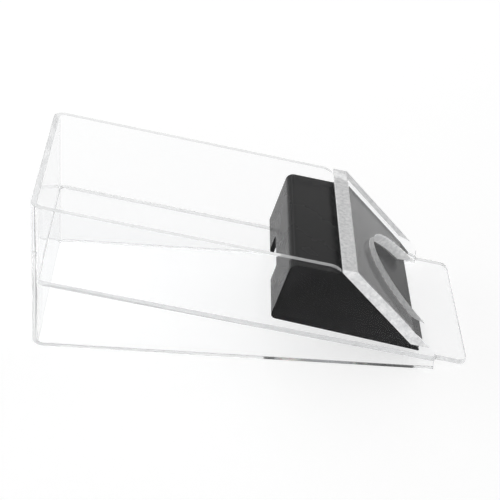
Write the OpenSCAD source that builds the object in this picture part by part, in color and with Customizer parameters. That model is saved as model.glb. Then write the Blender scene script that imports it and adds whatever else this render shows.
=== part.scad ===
// Card dealing shoe: one bent acrylic sheet makes the walls from the table to the rim,
// with a sloping floor and a deal lip set inside it, a slanted face plate, and a
// weighted follower that rolls down the floor.
// Frame: +X towards the dealing end, +Y to the left of the dealer, +Z up.
// Origin: on the table, under the centre of the whole shoe. Millimetres.

/* [Tray] */
// Width across the outside of the walls
tray_w = 98; // [96:0.5:110]
// Length of the walls along the table
tray_l = 196; // [180:1:196]
// Thickness of the bent wall sheet
wall_t = 3; // [2.5:0.1:3.5]
// Thickness of the floor panel
floor_t = 3; // [2.5:0.1:3]
// Height of the floor's upper face above the table at the rear wall
floor_rear_z = 36.8; // [36.8:0.1:38]
// Slope of the floor, down towards the dealing end
floor_angle = 8.95; // [8:0.05:9]
// Height of the walls above the floor, square to the floor
wall_h = 40.5; // [38:0.5:50]
// Outer radius of the two bent rear corners
corner_r = 6; // [5:0.5:12]
// Radius that rounds off the front end of the rim
rim_r = 10; // [4:1:14]

/* [Deal lip] */
// How far the floor runs on past the walls
lip_l = 17; // [12:0.5:17]
// Width of the lip
lip_w = 89; // [80:1:91]
// Radius of the lip's two corners
lip_r = 4.5; // [2:0.5:10]

/* [Face plate] */
// Thickness of the face plate
plate_t = 6; // [5:0.5:8]
// Lean of the face plate, back from the vertical
plate_angle = 44; // [42:0.5:46]
// Where the plane of its front face meets the table, ahead of the walls
plate_foot = 9; // [8:0.5:11]
// Height of the card slot between the plate and the floor
slot_gap = 6; // [4:0.5:7]
// How much of the sharp rear edge along its top is cut away
edge_blunt = 2.5; // [1:0.5:4]
// Width of the finger opening at its foot
arch_w = 57; // [46:1:64]
// Height of the finger opening, up the slope of the plate
arch_h = 39.3; // [34:0.1:44]

/* [Follower] */
// Width of the follower
follower_w = 88; // [84:0.5:89]
// Height of its top above the floor
follower_h = 34.9; // [34:0.1:36]
// Length along its top
follower_top_l = 27.7; // [26:0.1:34]
// Forward lean of its rear face from square to the floor
rear_lean = 5.3; // [3:0.1:7]
// Gap below its rear edge
rear_gap = 3; // [2:0.1:3.4]
// Gap below its front edge
front_gap = 0.3; // [0.2:0.1:1.5]
// Wall thickness of the moulded shell
shell_t = 2.5; // [2:0.1:3]
// Width of the notch at the foot of the rear face
notch_w = 28; // [20:1:34]
// Height of the notch above the floor
notch_h = 14; // [10:0.5:16]

/* [Running gear] */
// Diameter of the rollers
roller_d = 12; // [11:0.5:13]
// Length of each roller
roller_l = 16; // [10:1:20]
// Diameter of the axles
axle_d = 4; // [3:0.5:5]
// Distance from the foot of the rear face to the rear axle
rear_axle_u = 15; // [12:0.5:18]
// Distance between the two axles
wheelbase = 37; // [30:1:38]
// Width of the snap slots that let the axles into the webs from below
snap_w = 2.6; // [2:0.1:2.8]

/* [Hidden] */
$fn = 96;
eps = 1;                        // overrun of every cutting shape
total_l = tray_l + lip_l;
slope = tan(floor_angle);
lean = tan(plate_angle);
card_face = plate_angle + floor_angle;          // lean of the plate from the floor's normal
face_run = tan(card_face);
plate_x = tray_l + plate_foot;                  // front face of the plate at table height
plate_back_x = plate_x - plate_t / cos(plate_angle);

// Follower, in the floor's own frame: u runs down the floor from the rear wall's outer
// face, h rises square to it.
stop_gap = 0.2;                 // between the follower and the face plate at rest
edge_r = 4;                     // rounded rear top edge
roller_gap = 0.3;               // running gap between rollers and floor
rib_t = 3;                      // webs that carry the axles
rib_y = 33;                     // centre of each web
roller_y = 20;                  // centre of each roller
axle_fit = 0.05;                // radial running clearance of the axles in the webs
axle_l = 75;
clip_d = 8;
clip_t = 0.8;
clip_y = rib_y + rib_t / 2 + 0.3;
web_span = 2 * rib_y + 2 * rib_t;               // what the axle cuts run through
ballast_w = 58;
ballast_low = 15.5;             // height of the ballast's lower face above the floor
ballast_high = 27;
ballast_gap = 1.5;
screw_y = 20;
screw_d = 3;
screw_head_d = 5.6;
screw_head_h = 2;
screw_l = 15.5;
boss_d = 9;
screw_u_offset = 12;            // behind the follower's front top edge

face_foot_u = (plate_back_x - lean * floor_rear_z) / (1 - lean * slope) / cos(floor_angle)
    - stop_gap / cos(card_face);
top_front_u = face_foot_u - face_run * follower_h;
top_rear_u = top_front_u - follower_top_l;
foot_rear_u = top_rear_u - (follower_h - rear_gap) * tan(rear_lean);
axle_h = roller_d / 2 + roller_gap;
axle_u = [foot_rear_u + rear_axle_u, foot_rear_u + rear_axle_u + wheelbase];
screw_u = top_front_u - screw_u_offset;

// Outline of the follower, anticlockwise from the foot of its rear face
follower_outline = [
    [foot_rear_u, rear_gap],
    [face_foot_u - face_run * front_gap, front_gap],
    [top_front_u, follower_h],
    [top_rear_u, follower_h]];

// Heights of the sloping faces above the table at a distance x from the rear
function floor_top(x) = floor_rear_z - slope * x;
function floor_under(x) = floor_top(x) - floor_t / cos(floor_angle);
function rim(x) = floor_top(x) + wall_h / cos(floor_angle);

// Where a face leaning back with the plate, through x0 at table height, meets a
// line that falls with the floor from height z0
function plate_meets(x0, z0) =
    let (x = (x0 - lean * z0) / (1 - lean * slope)) [x, z0 - slope * x];

// Points of an arc of radius r that rounds corner b of an outline between a and c
function rounded_corner(a, b, c, r, steps = 10) =
    let (u = (a - b) / norm(a - b), v = (c - b) / norm(c - b), half = acos(u * v) / 2)
    let (centre = b + (u + v) / norm(u + v) * r / sin(half), turn = 180 - 2 * half)
    let (from = b + u * r / tan(half) - centre, to = b + v * r / tan(half) - centre)
    [for (i = [0 : steps])
        centre + (from * sin(turn * (1 - i / steps)) + to * sin(turn * i / steps)) / sin(turn)];

// Unit normal into an anticlockwise outline, from its corner i to the next
function inward(p, i) =
    let (d = p[(i + 1) % len(p)] - p[i]) [-d[1], d[0]] / norm(d);

// Corner i of an anticlockwise outline moved inwards by t from both its edges
function inset_corner(p, i, t) =
    let (a = inward(p, (i + len(p) - 1) % len(p)), b = inward(p, i))
    p[i] + t * (a + b) / (1 + a * b);

function inset(p, t) = [for (i = [0 : len(p) - 1]) inset_corner(p, i, t)];

// Everything is drawn from the rear wall, then centred over the origin
module placed() translate([-total_l / 2, 0, 0]) children();

// An outline in the x-z plane, drawn out to width w about the centre plane
module across(w) rotate([90, 0, 0]) linear_extrude(height = w, center = true) children();

// The floor's own frame
module on_floor() placed() translate([0, 0, floor_rear_z]) rotate([0, floor_angle, 0]) children();

// A cylinder along Y
module cross_bar(d, l) rotate([90, 0, 0]) cylinder(d = d, h = l, center = true);

// Plan of the tray, its rear corners rounded, inset by t from the walls' outer faces
module tray_plan(t, l) {
    half = tray_w / 2;
    translate([corner_r, t - half]) square([l - corner_r, tray_w - 2 * t]);
    translate([t, corner_r - half]) square([corner_r, tray_w - 2 * corner_r]);
    for (side = [-1, 1])
        translate([corner_r, side * (half - corner_r)]) circle(r = corner_r - t);
}

// The bent sheet's plan: two sides and the rear, open at the front
module wall_plan(l) difference() {
    tray_plan(0, l);
    tray_plan(wall_t, l + eps);
}

// Seen from the side, the walls rise square from the table, follow the face plate's front
// to its foot, step back under it and follow its rear face up to the rim.
module tray_walls() color([0.93, 0.95, 0.96, 0.35]) placed() intersection() {
    front_end = [tray_l + eps, (plate_x - tray_l - eps) / lean];
    plate_front = plate_meets(plate_x, floor_rear_z + slot_gap);
    plate_rear = plate_meets(plate_back_x, floor_rear_z + slot_gap);
    head = plate_meets(plate_back_x, rim(0));
    rear = [-eps, rim(-eps)];
    linear_extrude(height = rim(0) + eps) wall_plan(tray_l);
    across(tray_w + eps) polygon(concat(
        [[-eps, -eps], [tray_l + eps, -eps], front_end, plate_front, plate_rear],
        rounded_corner(plate_rear, head, rear, rim_r),
        [rear]));
}

module lip_plan() {
    side_y = lip_w / 2 - lip_r;
    translate([tray_l - eps, -lip_w / 2]) square([lip_l - lip_r + eps, lip_w]);
    translate([tray_l, -side_y]) square([lip_l, 2 * side_y]);
    for (side = [-1, 1])
        translate([total_l - lip_r, side * side_y]) circle(r = lip_r);
}

module floor_panel() color([0.93, 0.95, 0.96, 0.35]) placed() intersection() {
    linear_extrude(height = floor_rear_z + eps) {
        tray_plan(wall_t, tray_l);
        lip_plan();
    }
    across(tray_w + eps) polygon([
        [-eps, floor_under(-eps)],
        [total_l + eps, floor_under(total_l + eps)],
        [total_l + eps, floor_top(total_l + eps)],
        [-eps, floor_top(-eps)]]);
}

// Finger opening: the upper half of an ellipse standing on the X axis, open below
module arch() {
    steps = 60;
    polygon(concat(
        [for (i = [0 : steps]) [arch_w / 2 * cos(180 * i / steps), arch_h * sin(180 * i / steps)]],
        [[-arch_w / 2, -2 * plate_t], [arch_w / 2, -2 * plate_t]]));
}

module face_plate() color([0.93, 0.95, 0.96, 0.35]) {
    foot = plate_meets(plate_x, floor_rear_z + slot_gap);
    blunt_x = plate_meets(plate_back_x, rim(0))[0] + edge_blunt;
    placed() difference() {
        across(tray_w) polygon([
            plate_meets(plate_back_x, floor_rear_z + slot_gap),
            foot,
            plate_meets(plate_x, rim(0)),
            [blunt_x, rim(blunt_x)],
            [blunt_x, (plate_back_x - blunt_x) / lean]]);
        translate([foot[0], 0, foot[1]]) rotate([0, -plate_angle, 0]) rotate([90, 0, 90])
            linear_extrude(height = 4 * plate_t, center = true) arch();
    }
}

// The follower's outside: a wedge with a rounded rear top edge
module follower_form() {
    centre = inset_corner(follower_outline, 3, edge_r);
    touch_top = centre - edge_r * inward(follower_outline, 2);
    touch_rear = centre - edge_r * inward(follower_outline, 3);
    polygon([follower_outline[0], follower_outline[1], follower_outline[2],
        touch_top, touch_rear]);
    translate(centre) circle(r = edge_r);
}

// Its hollow, open below
module follower_hollow() {
    p = inset(follower_outline, shell_t);
    polygon([
        [p[0][0] - tan(rear_lean) * p[0][1], 0],
        [p[1][0] + face_run * p[1][1], 0],
        p[2],
        p[3]]);
}

module follower_shell() color([0.07, 0.07, 0.075]) on_floor() difference() {
    union() {
        difference() {
            across(follower_w) follower_form();
            across(follower_w - 2 * shell_t) follower_hollow();
        }
        for (side = [-1, 1])
            translate([0, side * rib_y, 0]) across(rib_t) follower_form();
        for (side = [-1, 1])
            translate([screw_u, side * screw_y, ballast_high])
                cylinder(d = boss_d, h = follower_h - shell_t / 2 - ballast_high);
    }
    translate([foot_rear_u - shell_t, -notch_w / 2, 0]) cube([3 * shell_t, notch_w, notch_h]);
    for (u = axle_u) {
        translate([u, 0, axle_h]) cross_bar(axle_d + 2 * axle_fit, web_span);
        translate([u - snap_w / 2, -web_span / 2, 0]) cube([snap_w, web_span, axle_h]);
    }
    for (side = [-1, 1])
        translate([screw_u, side * screw_y, ballast_high - eps])
            cylinder(d = screw_d, h = screw_l - (ballast_high - ballast_low) + eps + 1);
}

module ballast_block() color([0.55, 0.56, 0.58]) on_floor() difference() {
    p = inset(follower_outline, shell_t + ballast_gap);
    back = function (h) p[3][0] - tan(rear_lean) * (p[3][1] - h);
    face = function (h) p[2][0] + face_run * (p[2][1] - h);
    across(ballast_w) polygon([
        [back(ballast_low), ballast_low],
        [face(ballast_low), ballast_low],
        [face(ballast_high), ballast_high],
        [back(ballast_high), ballast_high]]);
    for (side = [-1, 1]) translate([screw_u, side * screw_y, ballast_low]) {
        translate([0, 0, -eps]) cylinder(d = screw_d + 0.4, h = ballast_high - ballast_low + 2 * eps);
        translate([0, 0, -eps]) cylinder(d = screw_head_d + 0.6, h = screw_head_h + eps);
    }
}

module ballast_screws() color([0.75, 0.76, 0.78]) on_floor()
    for (side = [-1, 1]) translate([screw_u, side * screw_y, ballast_low]) difference() {
        union() {
            cylinder(d = screw_head_d, h = screw_head_h);
            cylinder(d = screw_d, h = screw_l);
        }
        for (turn = [0, 90]) rotate(turn)
            translate([-1.6, -0.4, -eps]) cube([3.2, 0.8, eps + 1]);
    }

module axle(u) color([0.78, 0.79, 0.8]) on_floor()
    translate([u, 0, axle_h]) cross_bar(axle_d, axle_l);

module roller(u, side) color([0.86, 0.85, 0.82]) on_floor()
    translate([u, side * roller_y, axle_h]) difference() {
        cross_bar(roller_d, roller_l);
        cross_bar(axle_d, roller_l + 2 * eps);
    }

// Two push-on rings outside the webs keep each axle in place
module clips(u) color([0.3, 0.31, 0.33]) on_floor()
    for (side = [-1, 1])
        translate([u, side * (clip_y + clip_t / 2), axle_h]) difference() {
            cross_bar(clip_d, clip_t);
            cross_bar(axle_d, clip_t + 2 * eps);
        }

tray_walls();
floor_panel();
face_plate();
follower_shell();
ballast_block();
ballast_screws();
axle(axle_u[0]);  // rear_axle
axle(axle_u[1]);  // front_axle
roller(axle_u[0], 1);  // rear_roller_left
roller(axle_u[0], -1);  // rear_roller_right
roller(axle_u[1], 1);  // front_roller_left
roller(axle_u[1], -1);  // front_roller_right
clips(axle_u[0]);  // rear_axle_clips
clips(axle_u[1]);  // front_axle_clips
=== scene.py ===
"""Looks of the card dealing shoe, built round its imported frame.

Metres, in the frame's own axes: +X towards the deal lip, +Y across, +Z up.
"""
from math import cos, pi, radians, sin, tan

import bmesh
import bpy
from mathutils import Matrix, Vector


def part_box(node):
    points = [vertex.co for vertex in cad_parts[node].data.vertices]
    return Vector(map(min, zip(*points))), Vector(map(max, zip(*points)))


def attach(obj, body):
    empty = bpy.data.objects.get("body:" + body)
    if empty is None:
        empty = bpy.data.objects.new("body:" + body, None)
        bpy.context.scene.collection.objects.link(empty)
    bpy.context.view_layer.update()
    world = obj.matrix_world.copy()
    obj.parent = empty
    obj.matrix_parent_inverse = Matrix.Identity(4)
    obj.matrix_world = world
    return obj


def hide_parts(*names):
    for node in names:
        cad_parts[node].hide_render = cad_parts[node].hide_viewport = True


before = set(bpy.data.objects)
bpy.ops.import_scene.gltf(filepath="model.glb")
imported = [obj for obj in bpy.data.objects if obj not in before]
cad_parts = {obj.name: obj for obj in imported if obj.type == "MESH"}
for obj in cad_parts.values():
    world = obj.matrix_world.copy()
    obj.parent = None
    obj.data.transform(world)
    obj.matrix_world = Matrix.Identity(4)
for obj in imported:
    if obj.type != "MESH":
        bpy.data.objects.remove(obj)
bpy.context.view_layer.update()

MM = 0.001
JOINT = 0.04 * MM        # left open where two clear sheets meet, so that light turns at both faces

# Sizes that the shoe's design fixes
WALL_T = 3 * MM
FLOOR_T = 3 * MM
CORNER_R = 6 * MM
RIM_R = 10 * MM
LIP_HALF = 44.5 * MM
LIP_R = 4.5 * MM
FLOOR_ANGLE = radians(8.95)
PLATE_T = 6 * MM
PLATE_ANGLE = radians(44)
EDGE_BLUNT = 2.5 * MM
ARCH_HALF = 28.5 * MM
ARCH_H = 39.3 * MM
SHEET_EDGE_R = 0.4 * MM
PLATE_EDGE_R = 0.5 * MM
SHELL_T = 2.5 * MM
SHELL_SIDE_R = 1.8 * MM
SHELL_CORNERS = [2.4 * MM, 0.5 * MM, 0.8 * MM, 4 * MM]       # rear foot, front foot, front top, rear top
HOLLOW_CORNERS = [0.1 * MM, 0.1 * MM, 0.8 * MM, 1.5 * MM]    # in the same order
FOLLOWER_H = 34.9 * MM
FOLLOWER_TOP_L = 27.7 * MM
REAR_LEAN = radians(5.3)
REAR_GAP = 3.0 * MM
FRONT_GAP = 0.3 * MM
STOP_GAP = 0.2 * MM
NOTCH_HALF = 14 * MM
NOTCH_H = 14 * MM
NOTCH_R = 1.2 * MM
RIB_Y = 33 * MM
RIB_T = 3 * MM
SNAP_W = 2.6 * MM
AXLE_FIT = 0.05 * MM
BALLAST_LOW = 15.5 * MM
BALLAST_HIGH = 27 * MM
BALLAST_HALF = 29 * MM
BALLAST_GAP = 1.5 * MM
BOSS_D = 9 * MM
SCREW_Y = 20 * MM
SCREW_D = 3 * MM
SCREW_HEAD_D = 5.6 * MM
SCREW_HEAD_H = 2 * MM
SCREW_L = 15.5 * MM
SCREW_PITCH = 0.8 * MM
SCREW_BACK = 12 * MM

SLOPE = tan(FLOOR_ANGLE)
LEAN = tan(PLATE_ANGLE)
CARD_FACE = PLATE_ANGLE + FLOOR_ANGLE

# Sizes and places read from the frame
WALLS_LOW, WALLS_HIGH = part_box("tray_walls")
REAR_X, FRONT_X = WALLS_LOW.x, WALLS_HIGH.x
HALF_W, RIM_REAR_Z = WALLS_HIGH.y, WALLS_HIGH.z
PANEL_LOW, PANEL_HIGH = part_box("floor_panel")
TIP_X = PANEL_HIGH.x
FLOOR_REAR_Z = PANEL_HIGH.z + SLOPE * (PANEL_LOW.x - REAR_X)
PLATE_LOW, PLATE_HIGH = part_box("face_plate")
FOLLOWER_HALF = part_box("follower_shell")[1].y
PLATE_X = PLATE_HIGH.x + LEAN * PLATE_LOW.z      # the front face's plane at table height
PLATE_BACK_X = PLATE_X - PLATE_T / cos(PLATE_ANGLE)
SLOT_REAR_Z = PLATE_LOW.z + SLOPE * (PLATE_HIGH.x - REAR_X)


def floor_top(x):
    return FLOOR_REAR_Z - SLOPE * (x - REAR_X)


def floor_under(x):
    return floor_top(x) - FLOOR_T / cos(FLOOR_ANGLE)


def rim(x):
    return RIM_REAR_Z - SLOPE * (x - REAR_X)


def plate_meets(plane_x, height_at_rear):
    """Where a plane that leans with the plate meets a line that falls with the floor."""
    x = (plane_x - LEAN * (height_at_rear + SLOPE * REAR_X)) / (1 - LEAN * SLOPE)
    return x, height_at_rear - SLOPE * (x - REAR_X)


# ---------------------------------------------------------------- mesh helpers

def arc(centre, radius, start, end, steps):
    """Points on a circle from start to end, in degrees, both ends included."""
    turns = [radians(start + (end - start) * i / steps) for i in range(steps + 1)]
    return [(centre[0] + radius * cos(t), centre[1] + radius * sin(t)) for t in turns]


def mesh_object(name, verts, faces, materials):
    """An object from points and faces, with outward normals."""
    mesh = bpy.data.meshes.new(name)
    mesh.from_pydata([tuple(v) for v in verts], [], faces)
    for material in materials:
        mesh.materials.append(material)
    obj = bpy.data.objects.new(name, mesh)
    bpy.context.scene.collection.objects.link(obj)
    bm = bmesh.new()
    bm.from_mesh(mesh)
    bmesh.ops.remove_doubles(bm, verts=bm.verts, dist=1e-7)
    bmesh.ops.recalc_face_normals(bm, faces=bm.faces)
    bm.to_mesh(mesh)
    bm.free()
    return obj


def paint(obj, is_edge):
    """Gives the second material to the faces that is_edge picks by their normal and centre."""
    for face in obj.data.polygons:
        face.material_index = int(is_edge(face.normal, face.center))


def prism(name, near, far, materials):
    """A closed solid between two loops of the same number of points."""
    n = len(near)
    sides = [(i, (i + 1) % n, n + (i + 1) % n, n + i) for i in range(n)]
    faces = sides + [tuple(reversed(range(n))), tuple(range(n, 2 * n))]
    return mesh_object(name, near + far, faces, materials)


def turned_faces(rings, steps, capped):
    """Quads between neighbouring rings of points, with a cap on each end or none."""
    faces = []
    for i in range(rings - 1):
        for k in range(steps):
            nxt = (k + 1) % steps
            faces.append((i * steps + k, i * steps + nxt, (i + 1) * steps + nxt, (i + 1) * steps + k))
    if capped:
        faces.append(tuple(range(steps)))
        faces.append(tuple((rings - 1) * steps + k for k in range(steps)))
    return faces


def lathe(name, profile, centre, materials, steps=64):
    """Turns a profile of (distance along Y, radius) points about a line along Y.

    A profile that ends where it starts makes a ring; any other is capped at both ends.
    """
    verts = []
    for y, r in profile:
        for k in range(steps):
            t = 2 * pi * k / steps
            verts.append((centre[0] + r * cos(t), centre[1] + y, centre[2] + r * sin(t)))
    capped = profile[0] != profile[-1]
    return mesh_object(name, verts, turned_faces(len(profile), steps, capped), materials)


def soften(obj, width, segments=3, limit=30):
    """Rounds the edges and keeps the flat faces flat."""
    bevel = obj.modifiers.new("edges", "BEVEL")
    bevel.width = width
    bevel.segments = segments
    bevel.limit_method = "ANGLE"
    bevel.angle_limit = radians(limit)
    bevel.miter_outer = "MITER_ARC"
    smooth(obj)


def smooth(obj):
    """Smooth shading that follows the large faces."""
    for face in obj.data.polygons:
        face.use_smooth = True
    normals = obj.modifiers.new("normals", "WEIGHTED_NORMAL")
    normals.keep_sharp = True


def smooth_below(obj, degrees):
    """Smooth shading, with the edges that turn by more than this left sharp."""
    smooth(obj)
    obj.data.set_sharp_from_angle(angle=radians(degrees))


def bake_modifiers(obj):
    """Replaces the mesh by what its modifiers make of it."""
    graph = bpy.context.evaluated_depsgraph_get()
    made = bpy.data.meshes.new_from_object(obj.evaluated_get(graph))
    old = obj.data
    obj.modifiers.clear()
    obj.data = made
    bpy.data.meshes.remove(old)


def cut(obj, tools, operation="DIFFERENCE"):
    """Applies solids to obj, one after another, and removes them."""
    for tool in tools:
        step = obj.modifiers.new("cut", "BOOLEAN")
        step.operation = operation
        step.solver = "EXACT"
        step.object = tool
        bake_modifiers(obj)
        bpy.data.objects.remove(tool)


def join(name, parts):
    """One object from several, with their materials."""
    for part in parts:
        if part.modifiers:
            bake_modifiers(part)
    bm = bmesh.new()
    for part in parts:
        bm.from_mesh(part.data)
    mesh = bpy.data.meshes.new(name)
    bm.to_mesh(mesh)
    bm.free()
    for material in parts[0].data.materials:
        mesh.materials.append(material)
    for part in parts:
        bpy.data.objects.remove(part)
    obj = bpy.data.objects.new(name, mesh)
    bpy.context.scene.collection.objects.link(obj)
    return obj


def piece(obj, node, body):
    """Files a finished piece: hides the part it replaces and hangs it on the body it rides on."""
    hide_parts(node)
    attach(obj, body)
    return obj


# ---------------------------------------------------------------- materials

class Nodes:
    """Short calls for building a material's node tree."""

    def __init__(self, name):
        self.material = bpy.data.materials.new(name)
        self.material.use_nodes = True
        self.tree = self.material.node_tree
        self.shader = self.tree.nodes["Principled BSDF"]
        self.where = self.add("ShaderNodeTexCoord").outputs["Object"]

    def add(self, kind, **settings):
        node = self.tree.nodes.new(kind)
        for key, value in settings.items():
            setattr(node, key, value)
        return node

    def put(self, socket, value):
        """Links another node's output, or sets a plain value."""
        if hasattr(value, "is_linked"):
            self.tree.links.new(value, socket)
        else:
            socket.default_value = value

    def set(self, **values):
        """Shader inputs by name, with _ for a space."""
        for key, value in values.items():
            self.put(self.shader.inputs[key.replace("_", " ")], value)

    def stretched(self, scale):
        """The object's own coordinates, scaled along each axis."""
        node = self.add("ShaderNodeMapping")
        self.put(node.inputs["Vector"], self.where)
        node.inputs["Scale"].default_value = scale
        return node.outputs["Vector"]

    def noise(self, scale, detail=4, roughness=0.5, vector=None, distortion=0.0):
        node = self.add("ShaderNodeTexNoise")
        self.put(node.inputs["Vector"], vector or self.where)
        node.inputs["Scale"].default_value = scale
        node.inputs["Detail"].default_value = detail
        node.inputs["Roughness"].default_value = roughness
        node.inputs["Distortion"].default_value = distortion
        return node.outputs["Fac"]

    def ramp(self, value, low, high, to_low=0.0, to_high=1.0):
        node = self.add("ShaderNodeMapRange")
        self.put(node.inputs["Value"], value)
        ends = {"From Min": low, "From Max": high, "To Min": to_low, "To Max": to_high}
        for key, number in ends.items():
            node.inputs[key].default_value = number
        return node.outputs["Result"]

    def math(self, operation, a, b=0.0):
        node = self.add("ShaderNodeMath", operation=operation)
        self.put(node.inputs[0], a)
        self.put(node.inputs[1], b)
        return node.outputs[0]

    def mix(self, share, a, b):
        node = self.add("ShaderNodeMix", data_type="RGBA")
        self.put(node.inputs["Factor"], share)
        self.put(node.inputs["A"], a)
        self.put(node.inputs["B"], b)
        return node.outputs["Result"]

    def bump(self, height, strength, distance, below=None):
        node = self.add("ShaderNodeBump")
        node.inputs["Strength"].default_value = strength
        node.inputs["Distance"].default_value = distance
        self.put(node.inputs["Height"], height)
        if below is not None:
            self.put(node.inputs["Normal"], below)
        return node.outputs["Normal"]

    def edges(self, low, high):
        """0 on flats to 1 on worn outer edges."""
        return self.ramp(self.add("ShaderNodeNewGeometry").outputs["Pointiness"], low, high)


def hairlines(n):
    """Fine straight scratches in two crossing directions, 0 to 1."""
    marks = []
    for stretch in ((9, 260, 260), (240, 14, 240)):
        streaks = n.noise(1.0, detail=2, vector=n.stretched(stretch), distortion=0.2)
        marks.append(n.ramp(streaks, 0.72, 0.80))
    return n.math("MAXIMUM", marks[0], marks[1])


ACRYLIC_IOR = 1.49
FACE_IOR = 1.10          # lower than acrylic's, so that a mirrored white table doesn't grey the follower


def acrylic_face(name):
    """Polished sheet: nearly flat, with a little haze, dust and hairline scratches."""
    n = Nodes(name)
    clear, tinted = (0.980, 0.982, 0.984, 1), (0.971, 0.973, 0.975, 1)
    scratch = hairlines(n)
    smudge = n.ramp(n.noise(28, detail=5, roughness=0.6), 0.45, 0.75, 0.0, 0.012)
    n.set(
        Base_Color=n.mix(n.ramp(n.noise(9), 0.3, 0.7), clear, tinted),
        Roughness=n.math("ADD", smudge, n.math("MULTIPLY", scratch, 0.05)),
        Transmission_Weight=1.0,
        IOR=FACE_IOR,
        Normal=n.bump(n.noise(16, detail=1), 0.03, 0.0004),
    )
    return n.material


def acrylic_edge(name, grain, depth, haze, clear, glow, light, dark):
    """Sawn and polished edge: grain per metre, depth of its waves, haze, clearness and two tones.

    glow stands for the light that the sheet leads to its edges from all round.
    """
    n = Nodes(name)
    waves = n.noise(grain, detail=4, roughness=0.6, distortion=0.3)
    saw = n.noise(1.0, detail=2, vector=n.stretched((900, 900, 60)))
    n.set(
        Base_Color=n.mix(n.ramp(waves, 0.35, 0.65), light, dark),
        Roughness=n.ramp(saw, 0.35, 0.75, haze / 3, haze),
        Transmission_Weight=clear,
        Emission_Color=(1, 1, 1, 1),
        Emission_Strength=glow,
        IOR=ACRYLIC_IOR,
        Normal=n.bump(waves, 0.35, depth, n.bump(saw, 0.1, depth / 6)),
    )
    return n.material


def black_plastic(name):
    """Satin moulded plastic: fine spark-eroded grain, slightly shinier worn edges."""
    n = Nodes(name)
    grain = n.noise(3200, detail=2, roughness=0.6)
    flow = n.noise(20, detail=4)
    worn = n.edges(0.53, 0.60)
    black, charcoal, rubbed = (0.010, 0.010, 0.0105, 1), (0.015, 0.015, 0.0155, 1), (0.035, 0.035, 0.036, 1)
    tone = n.mix(n.ramp(flow, 0.3, 0.7), black, charcoal)
    satin = n.ramp(flow, 0.3, 0.7, 0.24, 0.30)
    n.set(
        Base_Color=n.mix(n.math("MULTIPLY", worn, 0.5), tone, rubbed),
        Roughness=n.math("SUBTRACT", satin, n.math("MULTIPLY", worn, 0.08)),
        Specular_IOR_Level=0.08,
        Sheen_Weight=0.05,
        Sheen_Roughness=0.3,
        Normal=n.bump(grain, 0.03, 0.00005),
    )
    return n.material


def steel(name, colour, rough, lines=(40, 1500, 1500)):
    """Drawn or ground steel, with fine lines along the stretch."""
    n = Nodes(name)
    drawn = n.noise(1.0, detail=3, vector=n.stretched(lines))
    stain = n.noise(60, detail=5, roughness=0.65)
    dark = tuple(0.72 * c for c in colour) + (1,)
    ground = n.ramp(drawn, 0.3, 0.7, rough, rough + 0.14)
    n.set(
        Base_Color=n.mix(n.ramp(stain, 0.35, 0.75), colour + (1,), dark),
        Metallic=1.0,
        Roughness=n.math("ADD", ground, n.ramp(stain, 0.5, 0.8, 0, 0.12)),
        Normal=n.bump(drawn, 0.2, 0.00004),
    )
    return n.material


def nylon(name):
    """Turned natural nylon: waxy, with faint turning marks and grey running dust."""
    n = Nodes(name)
    rings = n.noise(1.0, detail=2, vector=n.stretched((60, 5200, 60)))
    dust = n.noise(240, detail=4)
    clean, dusty = (0.78, 0.77, 0.72, 1), (0.60, 0.59, 0.56, 1)
    n.set(
        Base_Color=n.mix(n.ramp(dust, 0.45, 0.8), clean, dusty),
        Roughness=n.ramp(dust, 0.3, 0.8, 0.36, 0.55),
        Subsurface_Weight=0.15,
        Subsurface_Scale=0.001,
        Normal=n.bump(rings, 0.2, 0.00004),
    )
    return n.material


FACE = acrylic_face("acrylic_face")
# The rims' edge material is partly painted light: the share that isn't clear is a painted white highlight for
# the bright lines along the rims, and its grey tones are painted shade for the darker lines that refraction
# shows there.
EDGE = acrylic_edge(
    "acrylic_edge", grain=90, depth=0.00001, haze=0.05, clear=0.6, glow=0.0,
    light=(0.94, 0.945, 0.95, 1), dark=(0.86, 0.865, 0.87, 1))
SAWN = acrylic_edge(
    "sawn_acrylic_edge", grain=500, depth=0.00015, haze=0.14, clear=0.3, glow=0.10,
    light=(0.99, 0.99, 0.99, 1), dark=(0.66, 0.67, 0.68, 1))
BLACK = black_plastic("black_plastic")
GROUND = steel("ground_steel", (0.50, 0.51, 0.53), 0.34)
BRIGHT = steel("bright_steel", (0.66, 0.67, 0.69), 0.16, (1500, 40, 1500))
ZINC = steel("zinc_steel", (0.70, 0.71, 0.74), 0.22)
SPRING = steel("spring_steel", (0.09, 0.09, 0.10), 0.30)
NYLON = nylon("natural_nylon")


# ---------------------------------------------------------------- clear pieces

CORNER_STEPS = 14


def side_prism(name, outline, half, materials):
    """A solid from an outline in the x-z plane, drawn out to both sides."""
    near, far = [[(x, y, z) for x, z in outline] for y in (-half, half)]
    return prism(name, near, far, materials)


def fillet(a, b, c, radius, steps=12):
    """Points of the arc that rounds corner b between a and c."""
    a, b, c = Vector(a), Vector(b), Vector(c)
    u, v = (a - b).normalized(), (c - b).normalized()
    half = u.angle(v) / 2
    centre = b + (u + v).normalized() * radius / sin(half)
    start = b + u * radius / tan(half) - centre
    end = b + v * radius / tan(half) - centre
    turn = pi - 2 * half
    return [centre + (start * sin(turn * (1 - k / steps)) + end * sin(turn * k / steps)) / sin(turn)
            for k in range(steps + 1)]


def wall_path():
    """Outer and inner plan points of the bent sheet, from the near front to the far front."""
    paths = []
    for inset_by in (0, WALL_T):
        cx, cy, r = REAR_X + CORNER_R, HALF_W - CORNER_R, CORNER_R - inset_by
        side = HALF_W - inset_by
        paths.append([(FRONT_X, -side)] + arc((cx, -cy), r, -90, -180, CORNER_STEPS)
                     + arc((cx, cy), r, 180, 90, CORNER_STEPS) + [(FRONT_X, side)])
    return paths


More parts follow.
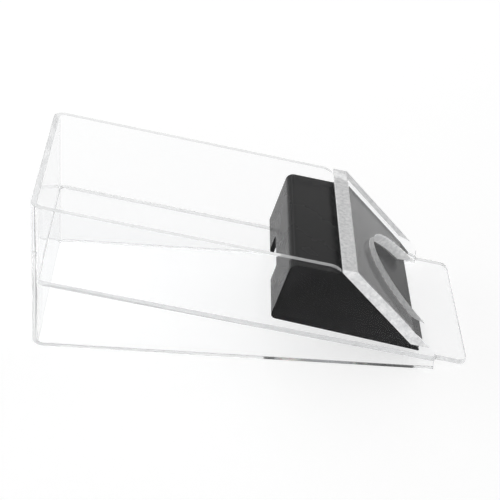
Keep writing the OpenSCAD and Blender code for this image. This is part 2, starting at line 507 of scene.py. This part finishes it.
def tray_walls():
    """The bent sheet from the table to the rim, cut back at the front to take the face plate."""
    outer, inner = wall_path()
    last = len(outer) - 1
    verts = []
    for out, inn in zip(outer, inner):
        verts += [(*out, 0), (*inn, 0), (*inn, rim(inn[0])), (*out, rim(out[0]))]
    faces = [(3, 2, 1, 0), tuple(4 * last + k for k in range(4))]
    for i in range(last):
        a, b = 4 * i, 4 * (i + 1)
        faces += [(a + k, a + (k + 1) % 4, b + (k + 1) % 4, b + k) for k in range(4)]
    obj = mesh_object("walls", verts, faces, [FACE, EDGE])
    step_front = plate_meets(PLATE_X, SLOT_REAR_Z)
    step_rear = plate_meets(PLATE_BACK_X, SLOT_REAR_Z)
    head = plate_meets(PLATE_BACK_X, RIM_REAR_Z)
    nose = fillet(step_rear, head, (REAR_X, RIM_REAR_Z), RIM_R)
    ahead, above = FRONT_X + 5 * MM, RIM_REAR_Z
    outline = [(ahead, (PLATE_X - ahead) / LEAN), step_front, step_rear] + nose
    outline += [(nose[-1][0], above), (ahead, above)]
    cut(obj, [side_prism("front", outline, HALF_W + MM, [EDGE])])
    on_rim = cos(PLATE_ANGLE) + 0.02         # the rim and its nose face up more than the sloping seats do
    # A normal along +X picks the walls' two front ends. It also picks the rear wall's inner face, which is a
    # known fault: that wall looks frosted, and asking for at.x > 0 as well would leave it clear.
    paint(obj, lambda normal, at: normal.z < -0.9 or normal.x > 0.9
          or (normal.z > on_rim and at.z > step_rear[1] + MM))
    soften(obj, SHEET_EDGE_R)
    return piece(obj, "tray_walls", "tray")


def floor_panel():
    """The sloping floor between the walls, with the deal lip ahead of them."""
    side, r = HALF_W - WALL_T - JOINT, CORNER_R - WALL_T - JOINT
    cx, cy = REAR_X + CORNER_R, HALF_W - CORNER_R
    lx, ly = TIP_X - LIP_R, LIP_HALF - LIP_R
    plan = arc((cx, cy), r, 90, 180, CORNER_STEPS) + arc((cx, -cy), r, 180, 270, CORNER_STEPS)
    plan += [(FRONT_X, -side), (FRONT_X, -LIP_HALF)]
    plan += arc((lx, -ly), LIP_R, -90, 0, CORNER_STEPS) + arc((lx, ly), LIP_R, 0, 90, CORNER_STEPS)
    plan += [(FRONT_X, LIP_HALF), (FRONT_X, side)]
    under = [(x, y, floor_under(x)) for x, y in plan]
    over = [(x, y, floor_top(x)) for x, y in plan]
    obj = prism("floor", under, over, [FACE, EDGE])
    paint(obj, lambda normal, at: abs(normal.z) < 0.7)
    soften(obj, SHEET_EDGE_R)
    return piece(obj, "floor_panel", "tray")


def face_plate():
    """The slanted plate, blunt along its top, with a half-elliptical finger opening."""
    normal = Vector((cos(PLATE_ANGLE), 0, sin(PLATE_ANGLE)))
    up = Vector((-sin(PLATE_ANGLE), 0, cos(PLATE_ANGLE)))
    foot = plate_meets(PLATE_X, SLOT_REAR_Z)
    blunt_x = plate_meets(PLATE_BACK_X, RIM_REAR_Z)[0] + EDGE_BLUNT
    outline = [
        plate_meets(PLATE_BACK_X + JOINT, SLOT_REAR_Z + JOINT),
        plate_meets(PLATE_X, SLOT_REAR_Z + JOINT),
        plate_meets(PLATE_X, RIM_REAR_Z),
        (blunt_x, rim(blunt_x)),
        (blunt_x, (PLATE_BACK_X + JOINT - blunt_x) / LEAN)]
    obj = side_prism("plate", outline, HALF_W, [FACE, SAWN])
    arch = [(ARCH_HALF * y, ARCH_H * v) for y, v in arc((0, 0), 1, 0, 180, 72)]
    arch += [(-ARCH_HALF, -2 * PLATE_T), (ARCH_HALF, -2 * PLATE_T)]
    base = Vector((foot[0], 0, foot[1]))
    loops = [[base + Vector((0, y, 0)) + up * v + normal * depth for y, v in arch]
             for depth in (2 * PLATE_T, -2 * PLATE_T)]
    cut(obj, [prism("opening", loops[0], loops[1], [SAWN])])
    paint(obj, lambda n, at: abs(n.dot(normal)) < 0.9 and not (n.z < -0.9 and abs(at.y) > ARCH_HALF))
    soften(obj, PLATE_EDGE_R)
    return piece(obj, "face_plate", "tray")


# ---------------------------------------------------------------- follower

def on_floor(u, y, h):
    """A point given down the floor from the rear, across, and square up from the floor."""
    return (REAR_X + u * cos(FLOOR_ANGLE) + h * sin(FLOOR_ANGLE), y,
            FLOOR_REAR_Z - u * sin(FLOOR_ANGLE) + h * cos(FLOOR_ANGLE))


PLATE_FOOT_X = plate_meets(PLATE_BACK_X, FLOOR_REAR_Z)[0]
FACE_FOOT_U = (PLATE_FOOT_X - REAR_X) / cos(FLOOR_ANGLE) - STOP_GAP / cos(CARD_FACE)
TOP_FRONT_U = FACE_FOOT_U - tan(CARD_FACE) * FOLLOWER_H
TOP_REAR_U = TOP_FRONT_U - FOLLOWER_TOP_L
FOOT_REAR_U = TOP_REAR_U - (FOLLOWER_H - REAR_GAP) * tan(REAR_LEAN)
FOLLOWER_OUTLINE = [
    (FOOT_REAR_U, REAR_GAP),
    (FACE_FOOT_U - tan(CARD_FACE) * FRONT_GAP, FRONT_GAP),
    (TOP_FRONT_U, FOLLOWER_H),
    (TOP_REAR_U, FOLLOWER_H)]
SCREW_U = TOP_FRONT_U - SCREW_BACK


def inward(points, i):
    """Unit normal into an anticlockwise outline from its corner i to the next."""
    d = Vector(points[(i + 1) % len(points)]) - Vector(points[i])
    return Vector((-d.y, d.x)).normalized()


def inset(points, distance):
    """The outline moved inwards, as a list of corners. distance may be one per corner."""
    moved = []
    for i, p in enumerate(points):
        t = distance[i] if isinstance(distance, (list, tuple)) else distance
        a, b = inward(points, i - 1), inward(points, i)
        moved.append(Vector(p) + t * (a + b) / (1 + a.dot(b)))
    return moved


def rounded(points, radii, steps=8):
    """An anticlockwise outline with its corners as arcs."""
    out = []
    for i, centre in enumerate(inset(points, radii)):
        a, b = -inward(points, i - 1), -inward(points, i)
        turn = a.angle(b)
        for k in range(steps + 1):
            share = k / steps
            d = (a * sin((1 - share) * turn) + b * sin(share * turn)) / sin(turn)
            out.append(centre + d * radii[i])
    return out


def across(name, outline, low_y, high_y, materials):
    """A solid from an outline in the floor's frame, drawn across from low_y to high_y."""
    return prism(name, [on_floor(u, low_y, h) for u, h in outline],
                 [on_floor(u, high_y, h) for u, h in outline], materials)


def block(name, u0, u1, y0, y1, h0, h1, materials):
    """A box in the floor's frame, from its lowest and highest u, y and h."""
    return across(name, [(u0, h0), (u1, h0), (u1, h1), (u0, h1)], y0, y1, materials)


def upright_pin(name, u, y, low, high, diameter, steps=40):
    """A cylinder square to the floor."""
    ring = [(u + diameter / 2 * cos(2 * pi * k / steps), y + diameter / 2 * sin(2 * pi * k / steps))
            for k in range(steps)]
    near, far = [[on_floor(a, b, h) for a, b in ring] for h in (low, high)]
    return prism(name, near, far, [BLACK])


def axle_centre(node):
    """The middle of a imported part's box, which for turned parts lies on the axis."""
    low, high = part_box(node)
    return (low + high) / 2


def axle_radius(node):
    """Half the height of an axle's box."""
    low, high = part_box(node)
    return (high.z - low.z) / 2


def follower_shell():
    """The moulded wedge: three bays open below, two webs for the axles, a notch and screw bosses."""
    outline = rounded(FOLLOWER_OUTLINE, SHELL_CORNERS)
    obj = across("follower", outline, -FOLLOWER_HALF, FOLLOWER_HALF, [BLACK])
    bm = bmesh.new()
    bm.from_mesh(obj.data)
    rims = [e for e in bm.edges if all(abs(abs(v.co.y) - FOLLOWER_HALF) < 1e-6 for v in e.verts)]
    bmesh.ops.bevel(
        bm, geom=rims, offset=SHELL_SIDE_R, segments=5, profile=0.5, affect="EDGES", clamp_overlap=True)
    bm.to_mesh(obj.data)
    bm.free()
    rear_foot, front_foot, front_top, rear_top = inset(FOLLOWER_OUTLINE, SHELL_T)
    below = -2 * MM
    hollow = rounded([
        (rear_foot.x - tan(REAR_LEAN) * (rear_foot.y - below), below),
        (front_foot.x + tan(CARD_FACE) * (front_foot.y - below), below),
        front_top, rear_top], HOLLOW_CORNERS, 4)
    inner = FOLLOWER_HALF - SHELL_T
    bays = [
        (-inner, -RIB_Y - RIB_T / 2),
        (RIB_T / 2 - RIB_Y, RIB_Y - RIB_T / 2),
        (RIB_Y + RIB_T / 2, inner)]
    cut(obj, [across("bay", hollow, low, high, [BLACK]) for low, high in bays])
    notch_rear, notch_front = FOOT_REAR_U - 5 * MM, FOOT_REAR_U + 7 * MM
    notch = block("notch", notch_rear, notch_front, -NOTCH_HALF, NOTCH_HALF, below, NOTCH_H, [BLACK])
    soften(notch, NOTCH_R)
    bake_modifiers(notch)
    tools = [notch]
    half = RIB_Y + RIB_T
    bore_r = axle_radius("rear_axle") + AXLE_FIT
    for node in ("rear_axle", "front_axle"):
        at = axle_centre(node)
        tools.append(lathe("bore", [(-half, bore_r), (half, bore_r)], at, [BLACK], 48))
        u = (at.x - REAR_X) * cos(FLOOR_ANGLE) - (at.z - FLOOR_REAR_Z) * sin(FLOOR_ANGLE)
        h = (at.x - REAR_X) * sin(FLOOR_ANGLE) + (at.z - FLOOR_REAR_Z) * cos(FLOOR_ANGLE)
        tools.append(block("snap", u - SNAP_W / 2, u + SNAP_W / 2, -half, half, below, h, [BLACK]))
    cut(obj, tools)
    for side in (-1, 1):
        boss = upright_pin("boss", SCREW_U, side * SCREW_Y, BALLAST_HIGH, FOLLOWER_H - SHELL_T / 2, BOSS_D)
        cut(obj, [boss], "UNION")
    smooth_below(obj, 38)
    return piece(obj, "follower_shell", "follower")


def ballast_block():
    """The steel block, cut to follow the shell's front and rear walls."""
    _, _, front_top, rear_top = inset(FOLLOWER_OUTLINE, SHELL_T + BALLAST_GAP)
    low_side, high_side = [
        [(rear_top.x - tan(REAR_LEAN) * (rear_top.y - h), h),
         (front_top.x + tan(CARD_FACE) * (front_top.y - h), h)]
        for h in (BALLAST_LOW, BALLAST_HIGH)]
    outline = low_side + high_side[::-1]
    obj = across("ballast", outline, -BALLAST_HALF, BALLAST_HALF, [GROUND])
    below, hole_d, bore_d = BALLAST_LOW - MM, SCREW_D + 0.4 * MM, SCREW_HEAD_D + 0.6 * MM
    for y in (-SCREW_Y, SCREW_Y):
        hole = upright_pin("hole", SCREW_U, y, below, BALLAST_HIGH + MM, hole_d)
        bore = upright_pin("bore", SCREW_U, y, below, BALLAST_LOW + SCREW_HEAD_H, bore_d)
        cut(obj, [hole, bore])
    soften(obj, 0.5 * MM, 2, 50)
    return piece(obj, "ballast_block", "follower")


def upright_lathe(name, u, y, low, profile, materials, steps=48):
    """Turns a profile of (height, radius) points about a line square to the floor."""
    verts = []
    for h, r in profile:
        for k in range(steps):
            t = 2 * pi * k / steps
            verts.append(on_floor(u + r * cos(t), y + r * sin(t), low + h))
    return mesh_object(name, verts, turned_faces(len(profile), steps, True), materials)


def ballast_screws():
    """Pan heads with a cross recess, and a ridged shank."""
    head_r, shank_r, root_r = SCREW_HEAD_D / 2, SCREW_D / 2, 0.8 * (SCREW_D / 2)
    profile = [(0, 0.55 * head_r), (0.15 * MM, 0.8 * head_r), (0.5 * MM, 0.96 * head_r), (0.9 * MM, head_r),
               (SCREW_HEAD_H, head_r), (SCREW_HEAD_H, shank_r)]
    ridges = int((SCREW_L - SCREW_HEAD_H - 2 * MM) / SCREW_PITCH)
    for k in range(ridges):
        start = SCREW_HEAD_H + MM + k * SCREW_PITCH
        profile += [(start, root_r), (start + SCREW_PITCH / 2, shank_r), (start + SCREW_PITCH * 0.9, root_r)]
    profile += [(SCREW_L - 0.3 * MM, root_r), (SCREW_L, 0.45 * shank_r)]
    long, narrow = 1.6 * MM, 0.35 * MM
    low, high = BALLAST_LOW - MM, BALLAST_LOW + 1.1 * MM
    screws = []
    for y in (-SCREW_Y, SCREW_Y):
        screw = upright_lathe("screw", SCREW_U, y, BALLAST_LOW, profile, [ZINC])
        bars = [block("bar", SCREW_U - a, SCREW_U + a, y - b, y + b, low, high, [ZINC])
                for a, b in ((long, narrow), (narrow, long))]
        cut(screw, bars)
        screws.append(screw)
    obj = join("screws", screws)
    smooth_below(obj, 35)
    return piece(obj, "ballast_screws", "follower")


# ---------------------------------------------------------------- running gear

def axle(node, body):
    """A bright pin with chamfered ends and a groove for each push-on ring."""
    r, half = axle_radius(node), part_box(node)[1].y
    ring_y = (RIB_Y + RIB_T / 2) + 0.7 * MM
    groove, depth, chamfer = 0.45 * MM, 0.12 * MM, 0.6 * MM
    side = [
        (ring_y - groove, r), (ring_y - groove, r - depth),
        (ring_y + groove, r - depth), (ring_y + groove, r),
        (half - chamfer, r), (half, r - chamfer)]
    profile = [(-y, radius) for y, radius in reversed(side)] + side
    obj = lathe(node + "_pin", profile, axle_centre(node), [BRIGHT])
    smooth_below(obj, 35)
    return piece(obj, node, body)


def roller(node, body, axle_node):
    """A turned roller: chamfered rims, a relieved hub at each end and two shallow grooves."""
    low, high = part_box(node)
    r, half = (high.z - low.z) / 2, (high.y - low.y) / 2
    bore = axle_radius(axle_node)
    groove_y, groove_w, groove_d = 0.45 * half, 0.5 * MM, 0.35 * MM
    end = [
        (groove_y - groove_w, r), (groove_y - groove_w / 2, r - groove_d),
        (groove_y + groove_w / 2, r - groove_d), (groove_y + groove_w, r),
        (half - 0.7 * MM, r), (half - 0.1 * MM, r - 0.6 * MM), (half, r - 0.9 * MM),
        (half, r - 1.3 * MM), (half - 0.6 * MM, r - 1.6 * MM),
        (half - 0.6 * MM, bore + 0.9 * MM), (half, bore + 0.7 * MM), (half, bore)]
    profile = [(-y, radius) for y, radius in reversed(end)] + end
    obj = lathe(node + "_body", profile + [profile[0]], axle_centre(node), [NYLON])
    smooth_below(obj, 32)
    return piece(obj, node, body)


def push_ring(centre, side, outer, inner, thick):
    """A dished ring with six teeth that bite the axle."""
    teeth, steps, dish, gap_depth = 6, 72, 0.3 * MM, 0.8 * MM
    sheet = 0.4 * thick
    verts = []
    for k in range(steps):
        t = 2 * pi * k / steps
        tooth = cos(teeth * t) > -0.45
        r_in = inner if tooth else inner + gap_depth
        lift = dish if tooth else 0.6 * dish
        for radius, y in ((outer, 0), (r_in, lift), (r_in, lift + sheet), (outer, sheet)):
            verts.append((centre.x + radius * cos(t), centre.y + side * y, centre.z + radius * sin(t)))
    faces = []
    for k in range(steps):
        a, b = 4 * k, 4 * ((k + 1) % steps)
        faces += [(a + j, a + (j + 1) % 4, b + (j + 1) % 4, b + j) for j in range(4)]
    return mesh_object("ring", verts, faces, [SPRING])


def axle_clips(node, body, axle_node):
    """One push-on ring near each end of an axle, its teeth a little way into the axle."""
    low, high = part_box(node)
    outer = (high.z - low.z) / 2
    inner = axle_radius(axle_node) - 0.1 * MM
    thick = 0.8 * MM
    rings = []
    for side in (-1, 1):
        centre = axle_centre(node)
        centre.y = side * (high.y - thick)
        rings.append(push_ring(centre, side, outer, inner, thick))
    obj = join(node + "_rings", rings)
    smooth_below(obj, 30)
    return piece(obj, node, body)


# ---------------------------------------------------------------- stage

TABLE_GLOW = 0.68                       # the table's own light
TABLE_HALF = 3.0
TABLE_Z = -0.05 * MM                    # just under the walls' feet
ROOM_LOW, ROOM_LOW_AT = 0.85, 0.05      # brightness near the horizon, and up to what height it holds
ROOM_HIGH, ROOM_HIGH_AT = 0.45, 0.6     # brightness overhead, and from what height
CAMERA_AZIMUTH = radians(-2.43)
CAMERA_ELEVATION = radians(32)
CAMERA_ROLL = radians(4.91)
CAMERA_DISTANCE = 0.7019
CAMERA_TARGET = Vector((REAR_X + 0.10388, 0, 0.03147))
SENSOR_W = 36
LENS_WIDTHS = 2.7848                    # focal length over the sensor's width


def floor_stage():
    """A white light table: about two thirds of its light is its own, so shadows on it stay pale."""
    n = Nodes("white_table")
    grey, pale = (0.50, 0.50, 0.50, 1), (0.52, 0.52, 0.52, 1)
    n.set(
        Base_Color=n.mix(n.ramp(n.noise(3), 0.3, 0.7), grey, pale),
        Roughness=0.6,
        Specular_IOR_Level=0.0,
        Emission_Color=(1, 1, 1, 1),
        Emission_Strength=TABLE_GLOW,
    )
    half = TABLE_HALF
    corners = [(-half, -half, TABLE_Z), (half, -half, TABLE_Z), (half, half, TABLE_Z), (-half, half, TABLE_Z)]
    table = mesh_object("table", corners, [(0, 1, 2, 3)], [n.material])


def world_light():
    """A plain room: lightest at the horizon, greyer overhead."""
    world = bpy.data.worlds.new("studio")
    bpy.context.scene.world = world
    world.use_nodes = True
    tree = world.node_tree
    back = tree.nodes["Background"]
    coord = tree.nodes.new("ShaderNodeTexCoord")
    split = tree.nodes.new("ShaderNodeSeparateXYZ")
    tree.links.new(coord.outputs["Generated"], split.inputs[0])
    ramp = tree.nodes.new("ShaderNodeValToRGB")
    tree.links.new(split.outputs["Z"], ramp.inputs[0])
    stops = ((ROOM_LOW_AT, ROOM_LOW), (ROOM_HIGH_AT, ROOM_HIGH))
    for element, (place, level) in zip(ramp.color_ramp.elements, stops):
        element.position = place
        element.color = (level, level, level, 1)
    tree.links.new(ramp.outputs[0], back.inputs["Color"])


def softbox(name, place, size, power):
    """A rectangular light that faces the middle of the table, with its power in watts."""
    light = bpy.data.lights.new(name, "AREA")
    light.shape = "RECTANGLE"
    light.size, light.size_y = size
    light.energy = power
    obj = bpy.data.objects.new(name, light)
    obj.location = place
    obj.rotation_mode = "QUATERNION"
    obj.rotation_quaternion = (-Vector(place)).to_track_quat("-Z", "Y")
    bpy.context.scene.collection.objects.link(obj)


def camera():
    """Looks along +Y and down at the near side, turned a little about its own axis."""
    level = cos(CAMERA_ELEVATION)
    back = Vector((sin(CAMERA_AZIMUTH) * level, -cos(CAMERA_AZIMUTH) * level, sin(CAMERA_ELEVATION)))
    right = Vector((0, 0, 1)).cross(back).normalized()
    up = back.cross(right)
    turn_cos, turn_sin = cos(CAMERA_ROLL), sin(CAMERA_ROLL)
    right, up = right * turn_cos + up * turn_sin, up * turn_cos - right * turn_sin
    data = bpy.data.cameras.new("camera")
    data.sensor_width = SENSOR_W
    data.lens = SENSOR_W * LENS_WIDTHS
    data.clip_start = 0.01
    obj = bpy.data.objects.new("camera", data)
    placed = Matrix((right, up, back)).transposed().to_4x4()
    placed.translation = CAMERA_TARGET + back * CAMERA_DISTANCE
    obj.matrix_world = placed
    bpy.context.scene.collection.objects.link(obj)
    bpy.context.scene.camera = obj


def light_paths():
    """Enough bounces for light that runs along inside the sheets, and plain tones."""
    cycles = bpy.context.scene.cycles
    cycles.max_bounces = 40
    cycles.transmission_bounces = 40
    cycles.glossy_bounces = 24
    cycles.transparent_max_bounces = 24
    cycles.sample_clamp_indirect = 2
    bpy.context.scene.view_settings.view_transform = "Standard"


# ---------------------------------------------------------------- build

for sheet in (tray_walls(), floor_panel(), face_plate()):
    sheet.visible_shadow = False
follower_shell()
ballast_block()
ballast_screws()
for end in ("rear", "front"):
    gear = end + "_rollers"
    axle(end + "_axle", gear)
    for hand in ("left", "right"):
        roller(f"{end}_roller_{hand}", gear, end + "_axle")
    axle_clips(end + "_axle_clips", gear, end + "_axle")

floor_stage()
world_light()
softbox("back", place=(-0.2, 1.2, 0.75), size=(1.6, 0.6), power=2.4)
softbox("side", place=(-1.1, 0.3, 0.5), size=(0.8, 0.6), power=2.5)
camera()
light_paths()
